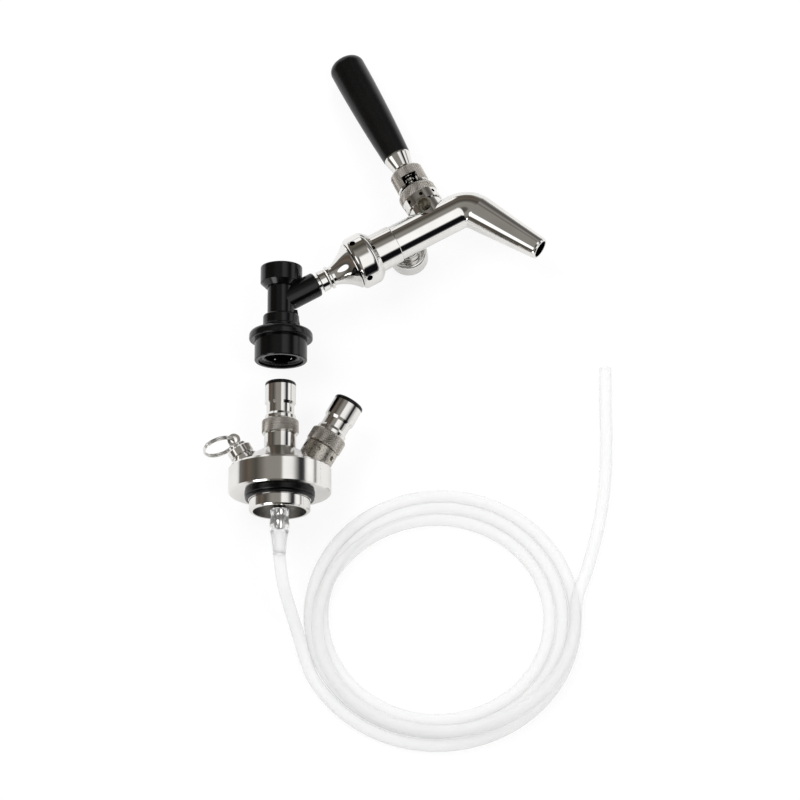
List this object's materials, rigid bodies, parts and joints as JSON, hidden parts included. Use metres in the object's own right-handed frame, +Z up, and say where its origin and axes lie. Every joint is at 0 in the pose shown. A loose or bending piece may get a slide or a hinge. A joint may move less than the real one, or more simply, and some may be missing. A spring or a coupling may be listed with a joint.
{
  "type": "keg dispensing head",
  "caption": "Keg cap with gas and liquid posts, pull-ring relief valve and hose, plus a quick disconnect carrying a side-lever faucet.",
  "frame": {"origin": "on the cap's axis at the plane of its seat on the keg's neck", "axes": "+Y along the cap's axis away from the keg, +X towards the gas post's side, +Z up from the table the set lies on"},
  "size_m": [0.2285, 0.4059, 0.057],
  "materials": {
    "satin_steel": "stainless steel, turned, with fine rings",
    "polished_steel": "stainless steel, polished",
    "chrome": "mirror-bright chrome",
    "spring_steel": "bright drawn wire",
    "black_plastic": "moulded, semi-gloss",
    "black_grip": "moulded, satin to semi-gloss",
    "black_rubber": "soft seal rubber",
    "white_seal": "slippery white seal plastic",
    "dark_screw": "blackened screw head",
    "clear_hose": "soft clear hose, milky"
  },
  "bodies": {
    "cap": {"cap_body": "satin_steel", "cap_gasket": "black_rubber", "collar_o_ring": "black_rubber", "dip_stub": "polished_steel", "liquid_post": "polished_steel", "liquid_post_seal": "black_rubber", "liquid_poppet_spring": "spring_steel", "gas_post": "polished_steel", "gas_post_seal": "black_rubber", "gas_poppet_spring": "spring_steel", "relief_body": "polished_steel", "relief_spring": "spring_steel", "hose_cuff": "clear_hose", "hose_lead": "clear_hose", "hose_coil": "clear_hose", "hose_free_end": "clear_hose"},
    "liquid_poppet": {"liquid_poppet": "polished_steel"},
    "gas_poppet": {"gas_poppet": "polished_steel"},
    "relief_stem": {"relief_stem": "polished_steel"},
    "pull_ring": {"pull_ring": "spring_steel"},
    "disconnect_seal": {"socket_seal": "black_rubber"},
    "disconnect_and_faucet": {"disconnect_body": "black_plastic", "lock_balls": "spring_steel", "lid_seal": "black_rubber", "disconnect_lid": "black_plastic", "pin_spring": "spring_steel", "collar_spring": "spring_steel", "flare_nut": "chrome", "flare_washer": "white_seal", "shank_adapter": "chrome", "coupling_nut": "chrome", "coupling_washer": "white_seal", "faucet_body": "chrome", "bonnet_lock_screw": "dark_screw", "lever_bushing": "white_seal", "friction_ring": "white_seal", "bonnet": "chrome", "throttle_gland": "chrome", "throttle_o_ring": "black_rubber"},
    "release_collar": {"release_collar": "black_plastic"},
    "valve_pin": {"valve_pin": "spring_steel"},
    "lever": {"lever": "polished_steel", "lever_skirt": "chrome", "handle_ferrule": "chrome", "handle_grip": "black_grip"},
    "shuttle": {"shuttle": "polished_steel", "seat_o_ring": "black_rubber"},
    "throttle": {"throttle_stem": "polished_steel", "throttle_knob": "chrome", "knob_screw": "polished_steel"}
  },
  "joints": [
    {"name": "disconnect_lift", "type": "slide", "parent": "cap", "child": "disconnect_seal", "axis": [0, 1, 0], "range_m": [-0.031, 0]},
    {"name": "disconnect_swivel", "type": "hinge", "parent": "disconnect_seal", "child": "disconnect_and_faucet", "pos_m": [0, 0.1, 0], "axis": [0, -1, 0], "continuous": true},
    {"name": "release_collar_slide", "type": "slide", "parent": "disconnect_and_faucet", "child": "release_collar", "axis": [0, 1, 0], "range_m": [0, 0.0045], "stiffness_N_per_m": 800, "springref_m": -0.002, "deforming": ["collar_spring"]},
    {"name": "valve_pin_slide", "type": "slide", "parent": "disconnect_and_faucet", "child": "valve_pin", "axis": [0, 1, 0], "range_m": [0, 0.003], "stiffness_N_per_m": 500, "springref_m": -0.003, "deforming": ["pin_spring"]},
    {"name": "liquid_poppet_slide", "type": "slide", "parent": "cap", "child": "liquid_poppet", "axis": [0, -1, 0], "range_m": [0, 0.003], "stiffness_N_per_m": 500, "springref_m": -0.003, "deforming": ["liquid_poppet_spring"]},
    {"name": "gas_poppet_slide", "type": "slide", "parent": "cap", "child": "gas_poppet", "axis": [-0.5, -0.866, 0], "range_m": [0, 0.003], "stiffness_N_per_m": 500, "springref_m": -0.003, "deforming": ["gas_poppet_spring"]},
    {"name": "relief_stem_lift", "type": "slide", "parent": "cap", "child": "relief_stem", "axis": [-0.5, 0.866, 0], "range_m": [0, 0.002], "stiffness_N_per_m": 900, "springref_m": -0.003, "deforming": ["relief_spring"]},
    {"name": "pull_ring_swing", "type": "hinge", "parent": "relief_stem", "child": "pull_ring", "pos_m": [-0.0256, 0.03072, 0], "axis": [0, 0, -1], "range_deg": [-20, 100]},
    {"name": "handle_tilt", "type": "hinge", "parent": "disconnect_and_faucet", "child": "lever", "pos_m": [0.07812, 0.17291, -0.00272], "axis": [0.0763, -0.1405, -0.9871], "range_deg": [0, 30]},
    {"name": "shuttle_slide", "type": "slide", "parent": "disconnect_and_faucet", "child": "shuttle", "axis": [0.8788, 0.4772, 0], "range_m": [-0.0088, 0]},
    {"name": "throttle_turn", "type": "hinge", "parent": "disconnect_and_faucet", "child": "throttle", "pos_m": [0.06969, 0.14924, 0], "axis": [0.0763, -0.1405, -0.9871], "range_deg": [0, 90]}
  ],
  "couplings": [
    {"joint": "shuttle_slide", "follows": "handle_tilt", "m_per_rad": -0.0166}
  ]
}
